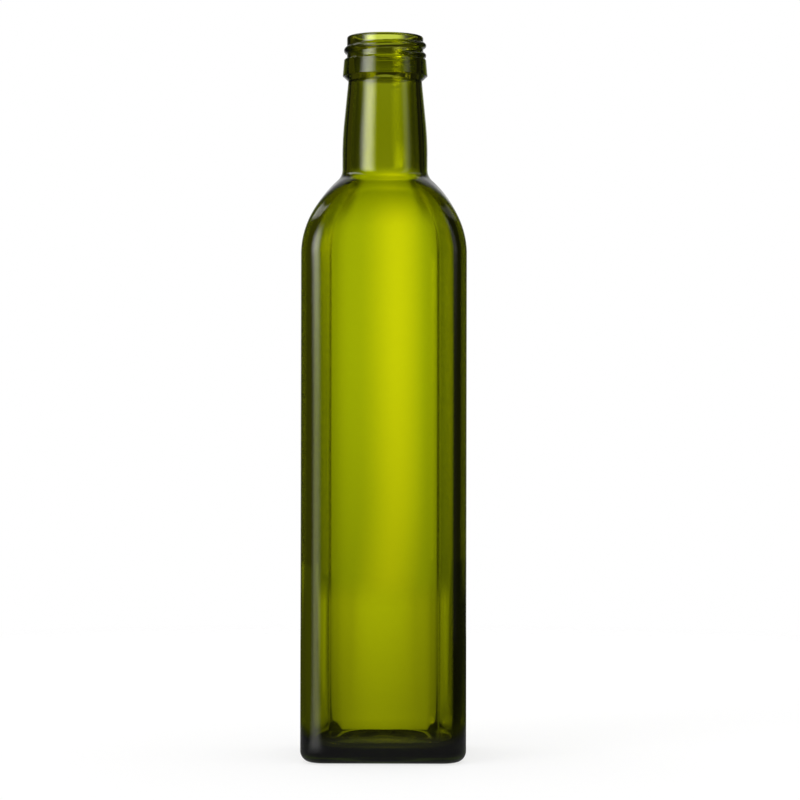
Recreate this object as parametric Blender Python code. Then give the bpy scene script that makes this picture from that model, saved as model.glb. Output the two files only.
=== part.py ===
"""Square glass bottle for oil or seasoning sauce, empty and without its cap.

It is one piece of moulded glass: a square body with rounded upright edges, a shoulder that turns the
square into a round neck, a collar, a screw thread and an open mouth. Metres, +Z up, and the bottle
stands on z = 0 with its axis on the Z axis. Each side of the body faces along X or Y.
"""

import math

import bmesh
import bpy

MM = 0.001

# Outside of the body
HEIGHT = 265 * MM
BODY_WIDTH = 60 * MM
EDGE_RADIUS = 9 * MM
HEEL_RADIUS = 4 * MM

# Shoulder: one arc that leans each side in, and a hollow curve where it meets the neck
SHOULDER_START = 183.5 * MM
SHOULDER_ARC = 38 * MM
NECK_FILLET = 5.5 * MM

# Neck: upright at its foot, then an arc into a straight taper
NECK_RADIUS = 15.7 * MM
NECK_TAPER_START = 221 * MM
NECK_ARC = 125 * MM
NECK_TAPER = 0.1
NECK_TOP = 248.4 * MM

# Collar under the thread, wider at its lower edge
COLLAR_BOTTOM = 250.2 * MM
COLLAR_TOP = 256.6 * MM
COLLAR_RADIUS_BOTTOM = 15.65 * MM
COLLAR_RADIUS_TOP = 15.2 * MM
COLLAR_ROUNDING = 0.7 * MM

# Screw finish and mouth
FINISH_RADIUS = 14.1 * MM
LIP_ROUNDING = 0.9 * MM
BORE_RADIUS = 12 * MM

# Thread: one right-handed bead that fades out at both ends
THREAD_PITCH = 3.7 * MM
THREAD_HEIGHT_AT_PLUS_X = 257.9 * MM
THREAD_BEAD_RADIUS = 1.2 * MM
THREAD_BEAD_SINK = 0.1 * MM
THREAD_START_DEG = -75
THREAD_END_DEG = 435
THREAD_FADE_DEG = 35
THREAD_STEP_DEG = 7.5
THREAD_END_SCALE = 0.35
THREAD_END_SINK = 0.6 * MM
THREAD_BEVEL_STEPS = 2
WELD_DISTANCE = 0.01 * MM

# Glass thickness and the inside
WALL = 3.1 * MM
NECK_WALL = 2.9 * MM
THROAT_RADIUS = 11.5 * MM
THROAT_HEIGHT = 246 * MM
INSIDE_POWER = 6
INSIDE_HEEL_RADIUS = 4.5 * MM
FLOOR_EDGE_HEIGHT = 5.4 * MM
FLOOR_DOME = 3.4 * MM
DOME_POWER = 1.25

# Underside: a flat band that the bottle stands on, round a shallow hollow
STANDING_BAND = 5 * MM
PUSH_UP = 4.4 * MM
PUSH_UP_ROUNDING = 0.75

# Number of flat facets
STEPS_ON_FLAT = 8
STEPS_ON_EDGE = 6
STEPS_ON_HEEL = 4
STEPS_ON_SHOULDER = 11
STEPS_ON_FILLET = 4
STEPS_ON_NECK = 5
STEPS_ON_ROUNDING = 3
STEPS_ON_BASE = 4

GLASS_COLOUR = (0.25, 0.28, 0.01, 1)
GLASS_ROUGHNESS = 0.05
GLASS_IOR = 1.52
SMOOTH_ANGLE = math.radians(40)

HALF = BODY_WIDTH / 2
SHOULDER_ARC_CENTRE = HALF - SHOULDER_ARC


def clear_scene():
    for thing in list(bpy.data.objects):
        bpy.data.objects.remove(thing)


def make_collection(name):
    made = bpy.data.collections.new(name)
    bpy.context.scene.collection.children.link(made)
    return made


def glass_material():
    made = bpy.data.materials.new("green_glass")
    made.use_nodes = True
    shader = made.node_tree.nodes["Principled BSDF"]
    shader.inputs["Base Color"].default_value = GLASS_COLOUR
    shader.inputs["Roughness"].default_value = GLASS_ROUGHNESS
    shader.inputs["Metallic"].default_value = 0
    shader.inputs["IOR"].default_value = GLASS_IOR
    shader.inputs["Transmission Weight"].default_value = 1
    made.diffuse_color = GLASS_COLOUR
    return made


def arc(centre, radius, start_deg, end_deg, steps):
    """Points of an arc in the plane of half width and height, both ends included."""
    points = []
    for step in range(steps + 1):
        angle = math.radians(start_deg + (end_deg - start_deg) * step / steps)
        points.append((centre[0] + radius * math.cos(angle), centre[1] + radius * math.sin(angle)))
    return points


def square_reach(angle, half, edge):
    """How far a square of that half width and edge rounding reaches from its middle at an angle."""
    across = max(abs(math.cos(angle)), abs(math.sin(angle)))
    along = min(abs(math.cos(angle)), abs(math.sin(angle)))
    corner = half - edge
    if along * half <= corner * across:
        return half / across
    return corner * (across + along) + math.sqrt(edge**2 - corner**2 * (across - along) ** 2)


def soft_reach(angle, half):
    """The same for the inside of the body, whose flat sides turn into the edges without a break."""
    total = abs(math.cos(angle)) ** INSIDE_POWER + abs(math.sin(angle)) ** INSIDE_POWER
    return half / total ** (1 / INSIDE_POWER)


def ring_angles():
    """Directions of the points round one ring: even steps on the flat sides and on the rounded edges."""
    corner = HALF - EDGE_RADIUS
    flat_end = math.atan2(corner, HALF)
    quarter = [-flat_end + 2 * flat_end * step / STEPS_ON_FLAT for step in range(STEPS_ON_FLAT)]
    for step in range(STEPS_ON_EDGE):
        turn = math.pi / 2 * step / STEPS_ON_EDGE
        x = corner + EDGE_RADIUS * math.cos(turn)
        y = corner + EDGE_RADIUS * math.sin(turn)
        quarter.append(math.atan2(y, x))
    return [angle + side * math.pi / 2 for side in range(4) for angle in quarter]


def square_ring(half, edge, height):
    """A ring of the body: a square with rounded edges."""
    return [(square_reach(angle, half, edge), angle, height) for angle in ring_angles()]


def soft_ring(half, height):
    return [(soft_reach(angle, half), angle, height) for angle in ring_angles()]


def blended_ring(width, body_ring, half, round_radius):
    """A ring between the body's square and the neck's circle, whose flat sides reach the given width."""
    roundness = (half - width) / (half - round_radius)
    return [
        ((1 - roundness) * reach + roundness * round_radius, angle, height)
        for reach, angle, height in body_ring
    ]


def round_ring(radius, height):
    return [(radius, angle, height) for angle in ring_angles()]


def neck_radius(height):
    """Outer radius of the neck: upright, then an arc, then a straight taper."""
    above = max(0, height - NECK_TAPER_START)
    arc_height = NECK_TAPER * NECK_ARC
    if above <= arc_height:
        return NECK_RADIUS - above**2 / (2 * NECK_ARC)
    return NECK_RADIUS - arc_height * NECK_TAPER / 2 - NECK_TAPER * (above - arc_height)


def shoulder_outline(arc_radius, fillet, neck):
    """Shoulder arc and the hollow curve into the neck, as half width and height of the sides' middle."""
    centre = (SHOULDER_ARC_CENTRE, SHOULDER_START)
    fillet_x = neck + fillet
    rise = math.sqrt((arc_radius + fillet) ** 2 - (fillet_x - centre[0]) ** 2)
    meeting = math.degrees(math.atan2(rise, fillet_x - centre[0]))
    lean = arc(centre, arc_radius, 0, meeting, STEPS_ON_SHOULDER)
    hollow = arc((fillet_x, centre[1] + rise), fillet, 180 + meeting, 180, STEPS_ON_FILLET)
    return lean + hollow[1:]


def dome(rise, share):
    """Height of a low dome at a share of the way from its middle to its border."""
    return rise * (1 - share**2) ** DOME_POWER


def underside_rings():
    """From the middle of the hollow under the base out to the flat standing band."""
    band_half = HALF - HEEL_RADIUS - STANDING_BAND
    rings = []
    for step in range(1, STEPS_ON_BASE + 1):
        share = step / STEPS_ON_BASE
        half = band_half * share
        rings.append(square_ring(half, PUSH_UP_ROUNDING * half, dome(PUSH_UP, share)))
    return rings


def heel_rings():
    """The rounding between the base and the sides, which also widens the upright edges."""
    rings = []
    for width, height in arc((HALF - HEEL_RADIUS, HEEL_RADIUS), HEEL_RADIUS, -90, 0, STEPS_ON_HEEL):
        rings.append(square_ring(width, EDGE_RADIUS - (HALF - width), height))
    return rings


def shoulder_rings():
    outline = shoulder_outline(SHOULDER_ARC, NECK_FILLET, NECK_RADIUS)
    return [
        blended_ring(width, square_ring(HALF, EDGE_RADIUS, height), HALF, NECK_RADIUS)
        for width, height in outline
    ]


def neck_rings():
    rings = []
    for step in range(STEPS_ON_NECK + 1):
        height = NECK_TAPER_START + (NECK_TOP - NECK_TAPER_START) * step / STEPS_ON_NECK
        rings.append(round_ring(neck_radius(height), height))
    return rings


def finish_rings():
    """Collar, the plain wall that carries the thread, the rounded lip and the edge of the bore."""
    collar_corner = COLLAR_RADIUS_TOP - COLLAR_ROUNDING
    outline = [(COLLAR_RADIUS_BOTTOM, COLLAR_BOTTOM)]
    outline += arc(
        (collar_corner, COLLAR_TOP - COLLAR_ROUNDING), COLLAR_ROUNDING, 0, 90, STEPS_ON_ROUNDING
    )
    outline += [(FINISH_RADIUS, COLLAR_TOP)]
    lip_height = HEIGHT - LIP_ROUNDING
    outline += arc((FINISH_RADIUS - LIP_ROUNDING, lip_height), LIP_ROUNDING, 0, 90, STEPS_ON_ROUNDING)
    outline += arc((BORE_RADIUS + LIP_ROUNDING, lip_height), LIP_ROUNDING, 90, 180, STEPS_ON_ROUNDING)
    return [round_ring(radius, height) for radius, height in outline]


def inside_rings():
    """From the throat down the neck and shoulder to the wall's foot, the rounding and the domed floor."""
    inner_half = HALF - WALL
    inner_neck = NECK_RADIUS - NECK_WALL
    rings = [round_ring(THROAT_RADIUS, THROAT_HEIGHT), round_ring(inner_neck, NECK_TAPER_START)]
    outline = shoulder_outline(SHOULDER_ARC - WALL, NECK_FILLET + NECK_WALL, inner_neck)
    for width, height in reversed(outline):
        rings.append(blended_ring(width, soft_ring(inner_half, height), inner_half, inner_neck))
    floor_half = inner_half - INSIDE_HEEL_RADIUS
    foot = (floor_half, FLOOR_EDGE_HEIGHT + INSIDE_HEEL_RADIUS)
    for width, height in arc(foot, INSIDE_HEEL_RADIUS, 0, -90, STEPS_ON_HEEL):
        rings.append(soft_ring(width, height))
    for step in range(1, STEPS_ON_BASE):
        share = 1 - step / STEPS_ON_BASE
        rings.append(soft_ring(floor_half * share, FLOOR_EDGE_HEIGHT + dome(FLOOR_DOME, share)))
    return rings


def loft(name, rings, first_height, last_height):
    """Skins the rings into one closed body, with a point on the axis at each end."""
    shape = bmesh.new()
    made = []
    for ring in rings:
        points = [(reach * math.cos(a), reach * math.sin(a), height) for reach, a, height in ring]
        made.append([shape.verts.new(point) for point in points])
    count = len(made[0])
    for lower, upper in zip(made, made[1:]):
        for k in range(count):
            after = (k + 1) % count
            shape.faces.new((lower[k], lower[after], upper[after], upper[k]))
    for ring, height in ((made[0], first_height), (made[-1], last_height)):
        tip = shape.verts.new((0, 0, height))
        for k in range(count):
            shape.faces.new((tip, ring[k], ring[(k + 1) % count]))
    bmesh.ops.recalc_face_normals(shape, faces=shape.faces)
    mesh = bpy.data.meshes.new(name)
    shape.to_mesh(mesh)
    shape.free()
    return bpy.data.objects.new(name, mesh)


def make_bottle(collection, material):
    rings = underside_rings() + heel_rings() + shoulder_rings() + neck_rings() + finish_rings()
    rings += inside_rings()
    bottle = loft("bottle", rings, PUSH_UP, FLOOR_EDGE_HEIGHT + FLOOR_DOME)
    bottle.data.materials.append(material)
    collection.objects.link(bottle)
    return bottle


def thread_point(turn_deg):
    """Place and scale of the bead at an angle: it sinks into the wall where it fades at either end."""
    to_end = min(turn_deg - THREAD_START_DEG, THREAD_END_DEG - turn_deg)
    share = min(1, to_end / THREAD_FADE_DEG)
    fade = 1 - share * share * (3 - 2 * share)
    reach = FINISH_RADIUS - THREAD_BEAD_SINK - THREAD_END_SINK * fade
    height = THREAD_HEIGHT_AT_PLUS_X + THREAD_PITCH * turn_deg / 360
    turn = math.radians(turn_deg)
    scale = 1 - (1 - THREAD_END_SCALE) * fade
    return (reach * math.cos(turn), reach * math.sin(turn), height, 1), scale


def make_thread(collection, material):
    """The thread bead as a closed mesh: a poly curve with a round bevel, with its caps welded."""
    curve = bpy.data.curves.new("thread_curve", "CURVE")
    curve.dimensions = "3D"
    curve.bevel_depth = THREAD_BEAD_RADIUS
    curve.bevel_resolution = THREAD_BEVEL_STEPS
    curve.use_fill_caps = True
    spline = curve.splines.new("POLY")
    steps = round((THREAD_END_DEG - THREAD_START_DEG) / THREAD_STEP_DEG)
    spline.points.add(steps)
    for step, point in enumerate(spline.points):
        point.co, point.radius = thread_point(THREAD_START_DEG + THREAD_STEP_DEG * step)
    drawn = bpy.data.objects.new("thread_curve", curve)
    collection.objects.link(drawn)
    evaluated = drawn.evaluated_get(bpy.context.evaluated_depsgraph_get())
    mesh = bpy.data.meshes.new_from_object(evaluated)
    shape = bmesh.new()
    shape.from_mesh(mesh)
    bmesh.ops.remove_doubles(shape, verts=shape.verts, dist=WELD_DISTANCE)
    bmesh.ops.recalc_face_normals(shape, faces=shape.faces)
    shape.to_mesh(mesh)
    shape.free()
    mesh.materials.clear()
    mesh.materials.append(material)
    thread = bpy.data.objects.new("thread_bead", mesh)
    thread.matrix_world = drawn.matrix_world
    bpy.data.objects.remove(drawn)
    thread.hide_render = True
    thread.display_type = "WIRE"
    collection.objects.link(thread)
    return thread


def join_thread(bottle, thread):
    union = bottle.modifiers.new("thread", "BOOLEAN")
    union.operation = "UNION"
    union.object = thread


def shade(thing):
    thing.data.shade_smooth()
    thing.data.set_sharp_from_angle(angle=SMOOTH_ANGLE)


def main():
    clear_scene()
    parts = make_collection("glass_bottle")
    helpers = make_collection("joined_to_bottle")
    glass = glass_material()
    bottle = make_bottle(parts, glass)
    thread = make_thread(helpers, glass)
    shade(bottle)
    shade(thread)
    join_thread(bottle, thread)


main()
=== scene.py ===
"""Looks for the square green glass bottle: the fine glass surface, its material, studio light and camera.

The bottle's sizes repeat those of its solid model, in metres, and the fine surface replaces that solid.
"""

import math

import bpy
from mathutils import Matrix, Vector, noise


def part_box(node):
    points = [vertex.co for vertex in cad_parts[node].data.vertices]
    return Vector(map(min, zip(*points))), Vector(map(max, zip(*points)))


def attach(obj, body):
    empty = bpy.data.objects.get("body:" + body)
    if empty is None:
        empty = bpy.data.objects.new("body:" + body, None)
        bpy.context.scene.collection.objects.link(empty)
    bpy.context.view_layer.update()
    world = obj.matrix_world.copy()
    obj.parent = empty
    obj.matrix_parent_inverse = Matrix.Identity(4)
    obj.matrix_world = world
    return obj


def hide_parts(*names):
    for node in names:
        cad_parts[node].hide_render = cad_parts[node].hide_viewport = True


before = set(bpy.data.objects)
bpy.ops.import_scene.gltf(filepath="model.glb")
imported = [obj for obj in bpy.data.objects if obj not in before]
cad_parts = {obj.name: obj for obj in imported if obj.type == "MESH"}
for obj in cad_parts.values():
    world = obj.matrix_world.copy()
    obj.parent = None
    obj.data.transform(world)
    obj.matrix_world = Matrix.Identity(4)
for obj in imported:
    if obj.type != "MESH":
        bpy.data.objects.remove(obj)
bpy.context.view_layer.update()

MM = 0.001
NODE = "bottle"
_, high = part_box(NODE)

# Outside of the body, read from the solid where it says the size
HEIGHT = high.z
HALF = high.x
EDGE_RADIUS = 9 * MM
HEEL_RADIUS = 4 * MM

# Shoulder: one arc that leans each side in, and a hollow curve where it meets the neck
SHOULDER_START = 183.5 * MM
SHOULDER_ARC = 38 * MM
SHOULDER_ARC_CENTRE = HALF - SHOULDER_ARC
NECK_FILLET = 5.5 * MM

# Neck: upright at its foot, then an arc into a straight taper
NECK_RADIUS = 15.7 * MM
NECK_TAPER_START = 221 * MM
NECK_ARC = 125 * MM
NECK_TAPER = 0.1
NECK_TOP = 248.4 * MM

# Collar under the thread, wider at its lower edge
COLLAR_BOTTOM = 250.2 * MM
COLLAR_TOP = 256.6 * MM
COLLAR_RADIUS_BOTTOM = 15.65 * MM
COLLAR_RADIUS_TOP = 15.2 * MM
COLLAR_ROUNDING = 0.7 * MM
COLLAR_EDGE_ROUNDING = 0.3 * MM
COLLAR_EDGE_START_DEG = -80
COLLAR_DROP = 0.1 * MM

# Screw finish, mouth and thread
FINISH_RADIUS = 14.1 * MM
FINISH_FOOT_ROUNDING = 0.25 * MM
FINISH_FOOT_START = 0.15 * MM
LIP_ROUNDING = 0.9 * MM
BORE_RADIUS = 12 * MM
THREAD_PITCH = 3.7 * MM
THREAD_HEIGHT_AT_PLUS_X = 257.9 * MM
THREAD_REACH = 1.1 * MM
THREAD_HALF_WIDTH = 1.3 * MM
THREAD_POWER = 0.75
THREAD_START_DEG = -75
THREAD_END_DEG = 435
THREAD_FADE_DEG = 35

# Glass thickness and the inside
WALL = 3.1 * MM
NECK_WALL = 2.9 * MM
THROAT_RADIUS = 11.5 * MM
THROAT_HEIGHT = 246 * MM
INSIDE_POWER = 6
INSIDE_HEEL_RADIUS = 4.5 * MM
FLOOR_EDGE_HEIGHT = 5.4 * MM
FLOOR_DOME = 3.4 * MM
DOME_POWER = 1.25

# Underside
STANDING_BAND = 5 * MM
PUSH_UP = 4.4 * MM
PUSH_UP_ROUNDING = 0.75

# Unevenness that moulding leaves on the inside of the glass
WAVE_DEPTH = 0.12 * MM
WAVES_ACROSS = 60
WAVES_UP = 14
WAVE_FADE_RADIUS = 10 * MM

# Points round each ring of the surface
STEPS_ON_FLAT = 32
STEPS_ON_EDGE = 16

# Glass
GLASS_ROUGHNESS = 0.02
GLASS_INDEX = 1.52
GLASS_TINT = (0.9436, 0.951, 0, 1)
GLASS_TINT_DENSITY = 1020

# Camera: how the photo was taken
CAMERA_DISTANCE = 1.0
CAMERA_HEIGHT = 0.1308
CAMERA_AZIMUTH_DEG = 0.5
CAMERA_ROLL_DEG = 0.1
FRAME_WIDTH = 0.2955
AXIS_LEFT_OF_MIDDLE = 5.7 * MM
SENSOR_WIDTH = 36

# Colours of the light
NEUTRAL = (1, 1, 1, 1)
GREENISH = (0.88, 1, 0.9, 1)
WARM = (1, 0.84, 0.8, 1)
FLOOR_TINT = (0.94, 1, 0.9, 1)
FLOOR_PAINT = (0.3, 0.3, 0.3, 1)

# The light stays fixed in the scene, and its levels were fitted to the photo's view. No node reads the
# camera, but the strip of light on the floor is laid out from the place of the photo's camera.
# Every change of light below gives where it starts and ends, then the level before and after it.
# Every band of light gives its centre, its half width, how much of that is soft edge, and its level.

# Studio, in degrees: turns from straight behind the bottle, negative to the left, and elevations
LOW_FADE = (-25, -8, 0.25, 1)
HIGH_FADE = (45, 65, 1, 0)
KEY_CENTRE = (-1, 6, -138, -131)
KEY_EDGE = (4, 28, 1, 0)
KEY_FOOT = (-1, 7, 1.25, 5.2)
KEY_TOP = (20, 50, 1, 0)
FILL_BAND = (116, 17, 17, 0.6)
FILL_FOOT = (0, 6, 0.1, 1)
FILL_THROUGH = 0.25
OVERHEAD_SLANT = 0.5
OVERHEAD_HEIGHT = (12.5, 11, 7, 1)
OVERHEAD_TURN = (68, 30, 14, 1)
OVERHEAD_SIDES = (-10, 10, 2, 0.4)
BACKDROP_EDGE = (12, 32, 0.55, 0.02)
LEFT_BAND = (-88, 12, 12, 0.12)
LEFT_WIDE_BAND = (-60, 48, 20, 0.045)
RIGHT_BAND = (25, 20, 15, 0.03)
FRONT_EDGE = (115, 150, 0, 0.2)
CEILING = (25, 60, 0.01, 0.08)

# Lit panel behind the bottle, in metres up and from its middle
PANEL_DISTANCE = 0.05
PANEL_HALF_WIDTH = 0.05
PANEL_TOP = 0.29
PANEL_BOTTOM = 0.05
PANEL_FOOT = (0.05, 0.064, 0, 1)
GLOW_FOOT = (-0.06, 0.18, 0.24, 1)
GLOW_SHOULDER = (0.197, 0.225, 1, 0.27)
GLOW_COLLAR = (0.2505, 0.258, 1, 0.35)
GLOW_SIDES = (0.012, 0.045, 0.62, 0.3)
GLOW_EDGE = (0.0325, 0.0375, 1, 0)
NECK_FOOT = (0.2, 0.22, 0, 1)
NECK_SIDES = (0.013, 0.023, 0, 0.7)
NECK_GLOW_TOP = (0.2505, 0.2535, 0.12, 0)
NECK_GLOW_EDGE = (0.011, 0.018, 1, 0)
RIM_FOOT = (0.2692, 0.27, 0, 0.7)
RIM_TOP = (0.2726, 0.2734, 1, 0.25)
RIM_EDGE = (0.008, 0.012, 1, 0)
STREAK_CENTRE = (0.03, 0.1, -0.001, 0.004)
STREAK_EDGE = (0, 0.0155, 0.4, 0)
STREAK_TOP = (0.2, 0.22, 1, 0)

# Floor: its shape, and its look to the camera
FLOOR_RADIUS = 1.2
FLOOR_SIDES = 96
FLOOR_HEIGHT = -0.0002
FLOOR_GLOW = 0.7
FLOOR_FADE = (0.45, 0.59, 0, 1)

# Painted light on the floor behind the bottle, as seen through the glass, with painted shade close to the
# bottle. The strip of light on it fans out from the place of the photo's camera, which the two STRIP_CAMERA
# values repeat, so that it looks upright in the photo's view. Its centre and half width are those at the
# bottle, one metre from the camera.
BEHIND_START = 0.03
BEHIND_LEAST = 0.001
BEHIND_HALF_WIDTH = 0.018
# Painted shade: the painted light behind the bottle goes dark right at its back face
BEHIND_FOOT = (0.031, 0.036, 0, 1)
BEHIND_FAR = (0.05, 0.75, 0.25, 0.36)
BEHIND_SIDES = (0, 0.45, 1, 0.45)
BEHIND_EDGE = (0.34, 0.43, 1, 0)
STRIP_CAMERA_X = 0.0144
STRIP_CAMERA_DISTANCE = 1
STRIP_CENTRE = -0.001
STRIP_FAR = (0.05, 0.75, 0.1, 0.17)
STRIP_EDGE = (0, 0.0185, 1, 0)

# Painted light and shade on the floor elsewhere, as seen through the glass and as mirrored by it: lighter
# to the left and in front, dark close to the bottle, and a painted patch of the key light
AROUND_SIDES = (-0.2, 0.2, 0.08, 0.005)
AROUND_FOOT = (0.055, 0.105, 0.25, 1)
FRONT_FLOOR = (-0.25, -0.1, 0.2, 0)
FLOOR_KEY_CENTRE = -137
FLOOR_KEY_EDGE = (4, 26, 1.1, 0)
FLOOR_KEY_FOOT = (0.05, 0.09, 0, 1)
MIRRORED_FLOOR = (0.08, 0.14, 0.18, 0.02)


def arc(centre, radius, start_deg, end_deg, steps):
    points = []
    for step in range(steps + 1):
        angle = math.radians(start_deg + (end_deg - start_deg) * step / steps)
        points.append((centre[0] + radius * math.cos(angle), centre[1] + radius * math.sin(angle)))
    return points


def line(start, end, steps):
    """Points between start and end, without the first."""
    points = []
    for step in range(1, steps + 1):
        share = step / steps
        points.append((start[0] + (end[0] - start[0]) * share, start[1] + (end[1] - start[1]) * share))
    return points


def square_reach(angle, half, edge):
    across = max(abs(math.cos(angle)), abs(math.sin(angle)))
    along = min(abs(math.cos(angle)), abs(math.sin(angle)))
    corner = half - edge
    if along * half <= corner * across:
        return half / across
    return corner * (across + along) + math.sqrt(edge**2 - corner**2 * (across - along) ** 2)


def soft_reach(angle, half):
    total = abs(math.cos(angle)) ** INSIDE_POWER + abs(math.sin(angle)) ** INSIDE_POWER
    return half / total ** (1 / INSIDE_POWER)


def ring_angles():
    corner = HALF - EDGE_RADIUS
    flat_end = math.atan2(corner, HALF)
    quarter = [-flat_end + 2 * flat_end * step / STEPS_ON_FLAT for step in range(STEPS_ON_FLAT)]
    for step in range(STEPS_ON_EDGE):
        turn = math.pi / 2 * step / STEPS_ON_EDGE
        across, along = corner + EDGE_RADIUS * math.cos(turn), corner + EDGE_RADIUS * math.sin(turn)
        quarter.append(math.atan2(along, across))
    return [angle + side * math.pi / 2 for side in range(4) for angle in quarter]


ANGLES = ring_angles()


def square_ring(half, edge, height):
    return [(square_reach(angle, half, edge), height) for angle in ANGLES]


def soft_ring(half, height):
    return [(soft_reach(angle, half), height) for angle in ANGLES]


def blended_ring(width, body_ring, half, round_radius):
    roundness = (half - width) / (half - round_radius)
    return [((1 - roundness) * reach + roundness * round_radius, height) for reach, height in body_ring]


def round_ring(radius, height):
    return [(radius, height)] * len(ANGLES)


def neck_radius(height):
    above = max(0, height - NECK_TAPER_START)
    arc_height = NECK_TAPER * NECK_ARC
    if above <= arc_height:
        return NECK_RADIUS - above**2 / (2 * NECK_ARC)
    return NECK_RADIUS - arc_height * NECK_TAPER / 2 - NECK_TAPER * (above - arc_height)


def shoulder_outline(arc_radius, fillet, neck, steps, fillet_steps):
    centre = (SHOULDER_ARC_CENTRE, SHOULDER_START)
    fillet_x = neck + fillet
    rise = math.sqrt((arc_radius + fillet) ** 2 - (fillet_x - centre[0]) ** 2)
    meeting = math.degrees(math.atan2(rise, fillet_x - centre[0]))
    lean = arc(centre, arc_radius, 0, meeting, steps)
    hollow = arc((fillet_x, centre[1] + rise), fillet, 180 + meeting, 180, fillet_steps)
    return lean + hollow[1:]


def dome(rise, share):
    return rise * (1 - share**2) ** DOME_POWER


def underside_rings(steps=12):
    band_half = HALF - HEEL_RADIUS - STANDING_BAND
    rings = []
    for step in range(1, steps + 1):
        share = step / steps
        half = band_half * share
        rings.append(square_ring(half, PUSH_UP_ROUNDING * half, dome(PUSH_UP, share)))
    return rings


def heel_rings(steps=12):
    rings = []
    for width, height in arc((HALF - HEEL_RADIUS, HEEL_RADIUS), HEEL_RADIUS, -90, 0, steps):
        rings.append(square_ring(width, EDGE_RADIUS - (HALF - width), height))
    return rings


def side_rings(half, edge, start, end, steps):
    """Rings up or down the straight sides, without the first and the last."""
    return [square_ring(half, edge, start + (end - start) * step / steps) for step in range(1, steps)]


def thread_bump(angle, height):
    """How far the thread bead stands out of the finish at a place."""
    best = 0
    for turn in range(-1, 2):
        turn_deg = math.degrees(angle) + 360 * turn
        if not THREAD_START_DEG < turn_deg < THREAD_END_DEG:
            continue
        to_end = min(turn_deg - THREAD_START_DEG, THREAD_END_DEG - turn_deg)
        share = min(1, to_end / THREAD_FADE_DEG)
        strength = share * share * (3 - 2 * share)
        off = abs(height - THREAD_HEIGHT_AT_PLUS_X - THREAD_PITCH * turn_deg / 360) / THREAD_HALF_WIDTH
        if off < 1:
            best = max(best, THREAD_REACH * strength * (1 - off * off) ** THREAD_POWER)
    return best


def finish_rings():
    edge = COLLAR_EDGE_ROUNDING
    edge_x = COLLAR_RADIUS_BOTTOM - edge
    collar_foot = COLLAR_BOTTOM - COLLAR_DROP
    collar_corner = (COLLAR_RADIUS_TOP - COLLAR_ROUNDING, COLLAR_TOP - COLLAR_ROUNDING)
    finish_foot = (FINISH_RADIUS + FINISH_FOOT_ROUNDING, COLLAR_TOP + FINISH_FOOT_ROUNDING)
    lip_height = HEIGHT - LIP_ROUNDING
    outline = line((neck_radius(NECK_TOP), NECK_TOP), (edge_x, collar_foot), steps=8)
    outline += arc((edge_x, collar_foot + edge), edge, COLLAR_EDGE_START_DEG, 0, steps=5)[1:]
    outline += line(outline[-1], (COLLAR_RADIUS_TOP, collar_corner[1]), steps=12)
    outline += arc(collar_corner, COLLAR_ROUNDING, 0, 90, steps=8)[1:]
    outline += line(outline[-1], (FINISH_RADIUS + FINISH_FOOT_START, COLLAR_TOP), steps=3)
    outline += arc(finish_foot, FINISH_FOOT_ROUNDING, 270, 180, steps=3)[1:]
    outline += line(outline[-1], (FINISH_RADIUS, lip_height), steps=44)
    outline += arc((FINISH_RADIUS - LIP_ROUNDING, lip_height), LIP_ROUNDING, 0, 90, steps=8)[1:]
    outline += line(outline[-1], (BORE_RADIUS + LIP_ROUNDING, HEIGHT), steps=2)
    outline += arc((BORE_RADIUS + LIP_ROUNDING, lip_height), LIP_ROUNDING, 90, 180, steps=8)[1:]
    rings = []
    for radius, height in outline:
        ring = []
        for angle in ANGLES:
            wrapped = angle % (2 * math.pi)
            outside = radius > FINISH_RADIUS - LIP_ROUNDING and height < lip_height
            bump = thread_bump(wrapped, height) if outside else 0
            ring.append((max(radius, FINISH_RADIUS + bump) if bump else radius, height))
        rings.append(ring)
    return rings


def inside_rings():
    inner_half = HALF - WALL
    inner_neck = NECK_RADIUS - NECK_WALL
    rings = []
    throat = (BORE_RADIUS, HEIGHT - LIP_ROUNDING)
    outline = line(throat, (THROAT_RADIUS, THROAT_HEIGHT), steps=16)
    outline += line(outline[-1], (inner_neck, NECK_TAPER_START), steps=20)
    for radius, height in outline:
        rings.append(round_ring(radius, height))
    inner_fillet = NECK_FILLET + NECK_WALL
    outline = shoulder_outline(SHOULDER_ARC - WALL, inner_fillet, inner_neck, steps=40, fillet_steps=14)
    for width, height in reversed(outline):
        rings.append(blended_ring(width, soft_ring(inner_half, height), inner_half, inner_neck))
    floor_half = inner_half - INSIDE_HEEL_RADIUS
    foot = (floor_half, FLOOR_EDGE_HEIGHT + INSIDE_HEEL_RADIUS)
    side_steps = 40
    for step in range(1, side_steps):
        height = SHOULDER_START + (foot[1] - SHOULDER_START) * step / side_steps
        rings.append(soft_ring(inner_half, height))
    for width, height in arc(foot, INSIDE_HEEL_RADIUS, 0, -90, steps=14):
        rings.append(soft_ring(width, height))
    floor_steps = 14
    for step in range(1, floor_steps):
        share = 1 - step / floor_steps
        rings.append(soft_ring(floor_half * share, FLOOR_EDGE_HEIGHT + dome(FLOOR_DOME, share)))
    return rings


def wavy(rings):
    """Moulded glass is uneven on its inside: long soft waves, more upright than across."""
    made = []
    for ring in rings:
        bent = []
        for angle, (reach, height) in zip(ANGLES, ring):
            across = WAVES_ACROSS * reach
            place = Vector((across * math.cos(angle), across * math.sin(angle), WAVES_UP * height))
            fade = min(1, reach / WAVE_FADE_RADIUS)
            bent.append((reach + WAVE_DEPTH * noise.noise(place) * fade, height))
        made.append(bent)
    return made


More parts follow.
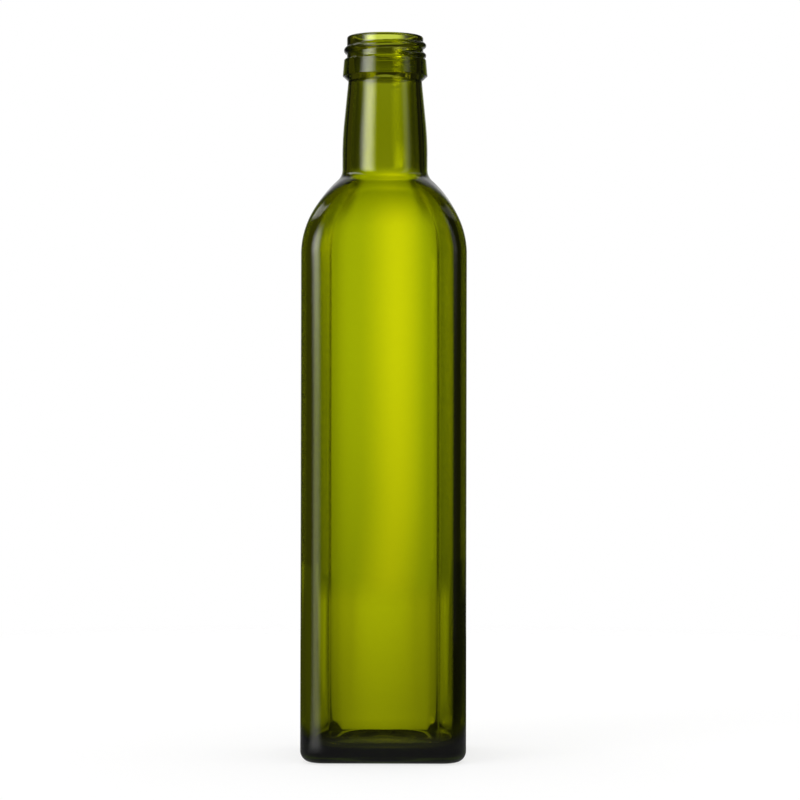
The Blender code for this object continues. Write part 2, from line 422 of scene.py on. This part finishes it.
def skin(name, rings, first_height, last_height):
    points = [(0, 0, first_height)]
    for ring in rings:
        for angle, (reach, height) in zip(ANGLES, ring):
            points.append((reach * math.cos(angle), reach * math.sin(angle), height))
    points.append((0, 0, last_height))
    count = len(ANGLES)
    last = len(points) - 1
    faces = []
    for k in range(count):
        after = (k + 1) % count
        faces.append((0, 1 + after, 1 + k))
        faces.append((last, last - count + k, last - count + after))
        for r in range(len(rings) - 1):
            base = 1 + r * count
            faces.append((base + k, base + after, base + count + after, base + count + k))
    mesh = bpy.data.meshes.new(name)
    mesh.from_pydata(points, [], faces)
    mesh.validate()
    mesh.shade_smooth()
    made = bpy.data.objects.new(name, mesh)
    bpy.context.scene.collection.objects.link(made)
    return made


def shoulder_rings():
    outline = shoulder_outline(SHOULDER_ARC, NECK_FILLET, NECK_RADIUS, steps=44, fillet_steps=14)
    return [
        blended_ring(width, square_ring(HALF, EDGE_RADIUS, height), HALF, NECK_RADIUS)
        for width, height in outline
    ]


def neck_rings(steps=24):
    rings = []
    for step in range(steps + 1):
        height = NECK_TAPER_START + (NECK_TOP - NECK_TAPER_START) * step / steps
        rings.append(round_ring(neck_radius(height), height))
    return rings


def glass_material():
    material = bpy.data.materials.new("green_glass")
    material.use_nodes = True
    tree = material.node_tree
    shader = tree.nodes["Principled BSDF"]
    shader.inputs["Base Color"].default_value = NEUTRAL
    shader.inputs["Roughness"].default_value = GLASS_ROUGHNESS
    shader.inputs["IOR"].default_value = GLASS_INDEX
    shader.inputs["Transmission Weight"].default_value = 1
    tint = tree.nodes.new("ShaderNodeVolumeAbsorption")
    tint.inputs["Color"].default_value = GLASS_TINT
    tint.inputs["Density"].default_value = GLASS_TINT_DENSITY
    out = tree.nodes["Material Output"]
    tree.links.new(tint.outputs["Volume"], out.inputs["Volume"])
    return material


def make_bottle():
    rings = underside_rings() + heel_rings()
    rings += side_rings(HALF, EDGE_RADIUS, HEEL_RADIUS, SHOULDER_START, steps=30)
    rings += shoulder_rings() + neck_rings() + finish_rings() + wavy(inside_rings())
    bottle = skin("glass_bottle", rings, PUSH_UP, FLOOR_EDGE_HEIGHT + FLOOR_DOME)
    bottle.data.materials.append(glass_material())
    return bottle


class Graph:
    """A short way to add linked nodes to a node tree."""

    def __init__(self, tree):
        self.tree = tree
        self.tree.nodes.clear()

    def put(self, socket, value):
        if isinstance(value, bpy.types.NodeSocket):
            self.tree.links.new(value, socket)
        else:
            socket.default_value = value

    def node(self, kind, **sockets):
        made = self.tree.nodes.new(kind)
        for name, value in sockets.items():
            self.put(made.inputs[name], value)
        return made

    def math(self, operation, *values):
        made = self.tree.nodes.new("ShaderNodeMath")
        made.operation = operation
        for socket, value in zip(made.inputs, values):
            self.put(socket, value)
        return made.outputs[0]

    def product(self, *values):
        result = values[0]
        for value in values[1:]:
            result = self.math("MULTIPLY", result, value)
        return result

    def total(self, *values):
        result = values[0]
        for value in values[1:]:
            result = self.math("ADD", result, value)
        return result

    def degrees(self, operation, *values):
        return self.math("MULTIPLY", self.math(operation, *values), 180 / math.pi)

    def distance(self, value, centre):
        return self.math("ABSOLUTE", self.math("SUBTRACT", value, centre))

    def ramp(self, value, start, end, before, after):
        """A smooth change from one level to another."""
        made = self.node("ShaderNodeMapRange", Value=value)
        made.interpolation_type = "SMOOTHSTEP"
        made.inputs["From Min"].default_value = start
        made.inputs["From Max"].default_value = end
        made.inputs["To Min"].default_value = before
        made.inputs["To Max"].default_value = after
        return made.outputs["Result"]

    def band(self, value, centre, half_width, soft, level):
        """A soft-edged band of light round a centre."""
        return self.ramp(self.distance(value, centre), half_width - soft, half_width, level, 0)

    def axes(self, coordinate):
        """The x, y and z of a texture coordinate."""
        place = self.node("ShaderNodeTexCoord").outputs[coordinate]
        split = self.node("ShaderNodeSeparateXYZ", Vector=place)
        return [split.outputs[axis] for axis in "XYZ"]

    def shader(self, kind, **sockets):
        return self.node(kind, **sockets).outputs[0]

    def add(self, first, second):
        made = self.node("ShaderNodeAddShader")
        self.tree.links.new(first, made.inputs[0])
        self.tree.links.new(second, made.inputs[1])
        return made.outputs[0]

    def mix(self, share, first, second):
        made = self.node("ShaderNodeMixShader", Fac=share)
        self.tree.links.new(first, made.inputs[1])
        self.tree.links.new(second, made.inputs[2])
        return made.outputs[0]

    def show(self, shader, output="ShaderNodeOutputMaterial"):
        self.tree.links.new(shader, self.node(output).inputs["Surface"])


def studio_levels(g):
    """How bright each direction is when the glass mirrors it, and when it is seen through the glass."""
    x, y, z = g.axes("Generated")
    azimuth = g.degrees("ARCTAN2", x, y)
    elevation = g.degrees("ARCSINE", z)
    turn = g.math("ABSOLUTE", azimuth)
    low_fade = g.ramp(elevation, *LOW_FADE)
    high_fade = g.ramp(elevation, *HIGH_FADE)

    key_off = g.distance(azimuth, g.ramp(elevation, *KEY_CENTRE))
    key_level = g.product(g.ramp(elevation, *KEY_FOOT), g.ramp(elevation, *KEY_TOP))
    key = g.product(g.ramp(key_off, *KEY_EDGE), key_level, low_fade)
    fill = g.product(g.band(azimuth, *FILL_BAND), g.ramp(elevation, *FILL_FOOT), high_fade)
    slant = g.math("SUBTRACT", elevation, g.product(turn, OVERHEAD_SLANT))
    overhead = g.product(g.band(slant, *OVERHEAD_HEIGHT), g.band(turn, *OVERHEAD_TURN))
    overhead = g.product(overhead, g.ramp(azimuth, *OVERHEAD_SIDES))
    backdrop = g.product(g.ramp(turn, *BACKDROP_EDGE), low_fade, high_fade)
    mirrored = g.total(key, fill, overhead, backdrop)

    left = g.total(g.band(azimuth, *LEFT_BAND), g.band(azimuth, *LEFT_WIDE_BAND))
    sides = g.total(left, g.band(azimuth, *RIGHT_BAND), g.ramp(turn, *FRONT_EDGE))
    through = g.total(g.product(sides, low_fade), key, g.product(fill, FILL_THROUGH))
    through = g.total(through, g.ramp(elevation, *CEILING))
    return mirrored, through


def make_world():
    """White to the camera, even light for the floor, and for the glass a dim studio with soft lights."""
    world = bpy.data.worlds.new("studio")
    world.use_nodes = True
    bpy.context.scene.world = world
    g = Graph(world.node_tree)
    mirrored, through = studio_levels(g)
    path = g.node("ShaderNodeLightPath")
    change = g.product(g.math("SUBTRACT", through, mirrored), path.outputs["Is Transmission Ray"])
    glass = g.total(mirrored, change)
    plain = g.math("MAXIMUM", path.outputs["Is Camera Ray"], path.outputs["Is Diffuse Ray"])
    level = g.total(g.product(glass, g.math("SUBTRACT", 1, plain)), plain)
    g.show(g.shader("ShaderNodeBackground", Strength=level, Color=NEUTRAL), "ShaderNodeOutputWorld")


def add_plane(name, corners):
    mesh = bpy.data.meshes.new(name)
    mesh.from_pydata(corners, [], [tuple(range(len(corners)))])
    made = bpy.data.objects.new(name, mesh)
    bpy.context.scene.collection.objects.link(made)
    return made


def node_material(name):
    material = bpy.data.materials.new(name)
    material.use_nodes = True
    return material, Graph(material.node_tree)


def panel_levels(g):
    """How bright the panel is at each place: a wide glow, a streak in it, and how much of it shows."""
    x, _, z = g.axes("Object")
    off = g.math("ABSOLUTE", x)
    height = g.product(g.ramp(z, *GLOW_FOOT), g.ramp(z, *GLOW_SHOULDER), g.ramp(z, *GLOW_COLLAR))
    neck = g.ramp(z, *NECK_FOOT)
    neck_shade = g.math("SUBTRACT", 1, g.product(neck, g.ramp(off, *NECK_SIDES)))
    glow = g.product(g.ramp(off, *GLOW_SIDES), g.ramp(off, *GLOW_EDGE), height, neck_shade)
    neck_glow = g.product(neck, g.ramp(z, *NECK_GLOW_TOP), g.ramp(off, *NECK_GLOW_EDGE))
    rim = g.product(g.ramp(z, *RIM_FOOT), g.ramp(z, *RIM_TOP), g.ramp(off, *RIM_EDGE))
    streak_off = g.distance(x, g.ramp(z, *STREAK_CENTRE))
    streak = g.product(g.ramp(streak_off, *STREAK_EDGE), height, g.ramp(z, *STREAK_TOP))
    return g.total(glow, neck_glow, rim), streak, g.ramp(z, *PANEL_FOOT)


def make_backlight():
    """A lit panel close behind the bottle that only the view through the glass shows."""
    corners = [
        (-PANEL_HALF_WIDTH, PANEL_DISTANCE, PANEL_BOTTOM),
        (PANEL_HALF_WIDTH, PANEL_DISTANCE, PANEL_BOTTOM),
        (PANEL_HALF_WIDTH, PANEL_DISTANCE, PANEL_TOP),
        (-PANEL_HALF_WIDTH, PANEL_DISTANCE, PANEL_TOP),
    ]
    panel = add_plane("backlight", corners)
    panel.visible_camera = False
    panel.visible_shadow = False
    panel.visible_diffuse = False
    panel.visible_glossy = False
    material, g = node_material("backlight")
    wide, narrow, shown = panel_levels(g)
    wide = g.shader("ShaderNodeEmission", Strength=wide, Color=GREENISH)
    narrow = g.shader("ShaderNodeEmission", Strength=narrow, Color=WARM)
    g.show(g.mix(shown, g.shader("ShaderNodeBsdfTransparent"), g.add(wide, narrow)))
    panel.data.materials.append(material)


def floor_levels(g, x, y, radius):
    """Painted light and shade on the floor: how bright it is at each place when seen through the glass, and
    when the glass mirrors it.
    """
    beyond = g.math("MAXIMUM", g.math("SUBTRACT", y, BEHIND_START), BEHIND_LEAST)
    aside = g.math("DIVIDE", g.math("SUBTRACT", g.math("ABSOLUTE", x), BEHIND_HALF_WIDTH), beyond)
    sides = g.product(g.ramp(aside, *BEHIND_SIDES), g.ramp(aside, *BEHIND_EDGE))
    behind = g.product(g.ramp(y, *BEHIND_FAR), sides)
    leaning = g.total(x, g.product(y, STRIP_CAMERA_X))
    strip_off = g.distance(g.math("DIVIDE", leaning, g.total(y, STRIP_CAMERA_DISTANCE)), STRIP_CENTRE)
    strip = g.product(g.ramp(y, *STRIP_FAR), g.ramp(strip_off, *STRIP_EDGE))
    # Painted shade: dark close to the bottle's back face
    behind = g.product(g.total(behind, strip), g.ramp(y, *BEHIND_FOOT))
    # Painted light elsewhere, lighter to the left and in front, with painted shade close to the bottle
    around = g.product(g.ramp(x, *AROUND_SIDES), g.ramp(radius, *AROUND_FOOT))
    through = g.total(behind, around, g.ramp(y, *FRONT_FLOOR))

    # Painted light of the key lamp on the floor, dark close to the bottle, for the glass to mirror
    key_off = g.distance(g.degrees("ARCTAN2", x, y), FLOOR_KEY_CENTRE)
    key = g.product(g.ramp(key_off, *FLOOR_KEY_EDGE), g.ramp(radius, *FLOOR_KEY_FOOT))
    return through, g.total(key, g.ramp(radius, *MIRRORED_FLOOR))


def make_floor():
    """White to the camera with a soft contact shadow; to the glass it shows painted light, and seen through
    the glass it is dark close to the bottle as painted shade.
    """
    corners = []
    for side in range(FLOOR_SIDES):
        angle = 2 * math.pi * side / FLOOR_SIDES
        corners.append((FLOOR_RADIUS * math.cos(angle), FLOOR_RADIUS * math.sin(angle), FLOOR_HEIGHT))
    floor = add_plane("floor", corners)
    material, g = node_material("pale_floor")
    x, y, _ = g.axes("Object")
    radius = g.math("SQRT", g.total(g.math("POWER", x, 2), g.math("POWER", y, 2)))
    through, mirrored = floor_levels(g, x, y, radius)
    pale = g.shader("ShaderNodeBsdfDiffuse", Color=FLOOR_PAINT)
    lit = g.add(pale, g.shader("ShaderNodeEmission", Strength=FLOOR_GLOW))
    through = g.shader("ShaderNodeEmission", Strength=through, Color=FLOOR_TINT)
    mirrored = g.shader("ShaderNodeEmission", Strength=mirrored)
    path = g.node("ShaderNodeLightPath")
    behind_glass = path.outputs["Is Transmission Ray"]
    surface = g.mix(path.outputs["Is Camera Ray"], g.mix(behind_glass, mirrored, through), lit)
    fade = g.product(g.ramp(radius, *FLOOR_FADE), g.math("SUBTRACT", 1, behind_glass))
    g.show(g.mix(fade, surface, g.shader("ShaderNodeBsdfTransparent")))
    floor.data.materials.append(material)


def make_camera():
    data = bpy.data.cameras.new("camera")
    camera = bpy.data.objects.new("camera", data)
    bpy.context.scene.collection.objects.link(camera)
    turn = math.radians(CAMERA_AZIMUTH_DEG)
    right = Vector((math.cos(turn), math.sin(turn), 0))
    back = Vector((math.sin(turn), -math.cos(turn), 0))
    camera.location = back * CAMERA_DISTANCE + right * AXIS_LEFT_OF_MIDDLE + Vector((0, 0, CAMERA_HEIGHT))
    camera.rotation_euler = (math.pi / 2, math.radians(-CAMERA_ROLL_DEG), turn)
    data.sensor_width = SENSOR_WIDTH
    data.lens = SENSOR_WIDTH * CAMERA_DISTANCE / FRAME_WIDTH
    bpy.context.scene.camera = camera


bottle = make_bottle()
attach(bottle, "root")
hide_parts(NODE)
make_world()
make_backlight()
make_floor()
make_camera()
bpy.context.scene.view_settings.view_transform = "Standard"
